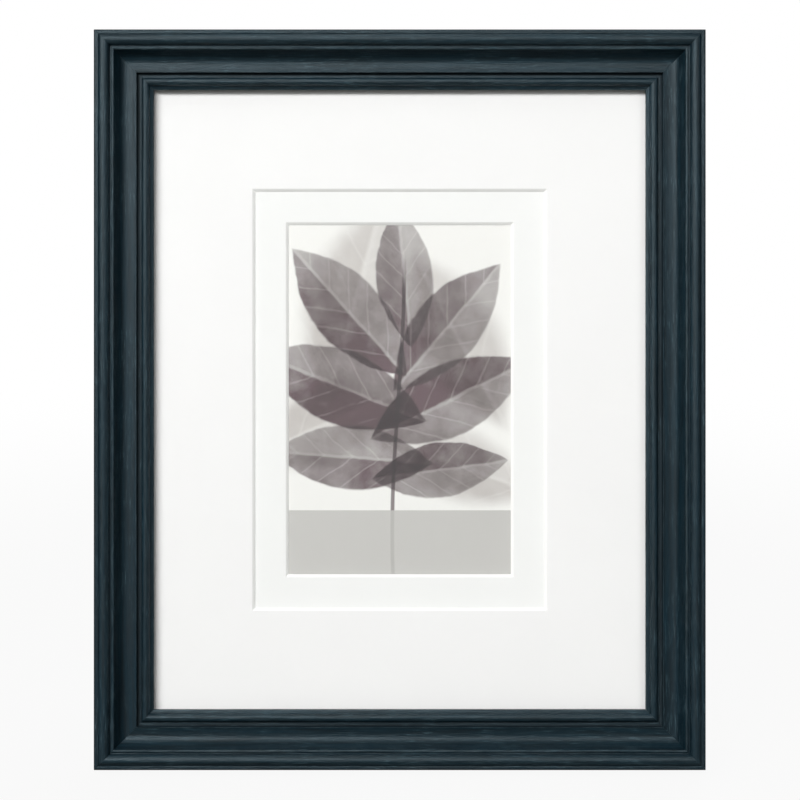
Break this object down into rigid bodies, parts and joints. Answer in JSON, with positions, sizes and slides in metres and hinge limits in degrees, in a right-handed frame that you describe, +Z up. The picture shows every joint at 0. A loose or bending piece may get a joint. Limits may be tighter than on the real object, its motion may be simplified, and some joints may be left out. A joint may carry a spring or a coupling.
{
  "type": "matted picture frame",
  "caption": "Upright matted picture frame with a dark brushed moulding, glass, a double bevelled mat and print, held by turn buttons, standing on a two-way folding easel leg.",
  "frame": {"origin": "middle of the part's footprint on the table, at the height of the table", "axes": "+X to the right and +Z up as seen from the front, +Y to the back; the picture faces -Y and leans back 15 degrees"},
  "size_m": [0.2414, 0.1088, 0.2866],
  "materials": {
    "stained_wood": "dark slate-blue stain, wire brushed, satin",
    "clear_glass": "clear, polished",
    "outer_mat_board": "white mat board, matte",
    "inner_mat_board": "warm white mat board, matte",
    "print_paper": "printed paper, matte",
    "covered_hardboard": "hardboard covered in black paper",
    "zinc_steel": "zinc plated",
    "brass_plate": "brass plated, satin"
  },
  "bodies": {
    "frame": {"turn_button_screw_1": "zinc_steel", "bottom_rail": "stained_wood", "turn_button_screw_2": "zinc_steel", "turn_button_screw_3": "zinc_steel", "left_stile": "stained_wood", "turn_button_screw_4": "zinc_steel", "turn_button_screw_5": "zinc_steel", "top_hanger": "brass_plate", "top_hanger_nail_1": "brass_plate", "top_hanger_nail_2": "brass_plate", "top_rail": "stained_wood", "turn_button_screw_6": "zinc_steel", "turn_button_screw_7": "zinc_steel", "side_hanger": "brass_plate", "side_hanger_nail_1": "brass_plate", "side_hanger_nail_2": "brass_plate", "right_stile": "stained_wood", "bottom_left_v_nail_outer": "zinc_steel", "bottom_left_v_nail_inner": "zinc_steel", "top_left_v_nail_outer": "zinc_steel", "top_left_v_nail_inner": "zinc_steel", "top_right_v_nail_outer": "zinc_steel", "top_right_v_nail_inner": "zinc_steel", "bottom_right_v_nail_outer": "zinc_steel", "bottom_right_v_nail_inner": "zinc_steel", "glass_pane": "clear_glass", "outer_mat": "outer_mat_board", "inner_mat": "inner_mat_board", "picture_print": "print_paper", "back_board": "covered_hardboard", "hinge_leaf": "zinc_steel", "hinge_pin": "zinc_steel", "leaf_rivet_1": "brass_plate", "leaf_rivet_2": "brass_plate"},
    "easel_leg": {"easel_leg": "covered_hardboard", "hinge_strap": "zinc_steel", "strap_rivet_1": "brass_plate", "strap_rivet_2": "brass_plate"},
    "turn_button_1": {"turn_button_1": "zinc_steel"},
    "turn_button_2": {"turn_button_2": "zinc_steel"},
    "turn_button_3": {"turn_button_3": "zinc_steel"},
    "turn_button_4": {"turn_button_4": "zinc_steel"},
    "turn_button_5": {"turn_button_5": "zinc_steel"},
    "turn_button_6": {"turn_button_6": "zinc_steel"},
    "turn_button_7": {"turn_button_7": "zinc_steel"}
  },
  "joints": [
    {"name": "easel_leg_fold", "type": "hinge", "parent": "frame", "child": "easel_leg", "pos_m": [-0.00642, 0.00158, 0.13436], "axis": [-0.788, 0.1593, 0.5947], "range_deg": [0, 30]},
    {"name": "turn_button_1_turn", "type": "hinge", "parent": "frame", "child": "turn_button_1", "pos_m": [0, -0.03385, 0.01178], "axis": [0, 0.9659, -0.2588], "continuous": true},
    {"name": "turn_button_2_turn", "type": "hinge", "parent": "frame", "child": "turn_button_2", "pos_m": [-0.10845, -0.01344, 0.08795], "axis": [0, 0.9659, -0.2588], "continuous": true},
    {"name": "turn_button_3_turn", "type": "hinge", "parent": "frame", "child": "turn_button_3", "pos_m": [-0.10845, 0.01503, 0.1942], "axis": [0, 0.9659, -0.2588], "continuous": true},
    {"name": "turn_button_4_turn", "type": "hinge", "parent": "frame", "child": "turn_button_4", "pos_m": [-0.062, 0.03543, 0.27036], "axis": [0, 0.9659, -0.2588], "continuous": true},
    {"name": "turn_button_5_turn", "type": "hinge", "parent": "frame", "child": "turn_button_5", "pos_m": [0.062, 0.03543, 0.27036], "axis": [0, 0.9659, -0.2588], "continuous": true},
    {"name": "turn_button_6_turn", "type": "hinge", "parent": "frame", "child": "turn_button_6", "pos_m": [0.10845, 0.01503, 0.1942], "axis": [0, 0.9659, -0.2588], "continuous": true},
    {"name": "turn_button_7_turn", "type": "hinge", "parent": "frame", "child": "turn_button_7", "pos_m": [0.10845, -0.01344, 0.08795], "axis": [0, 0.9659, -0.2588], "continuous": true}
  ]
}
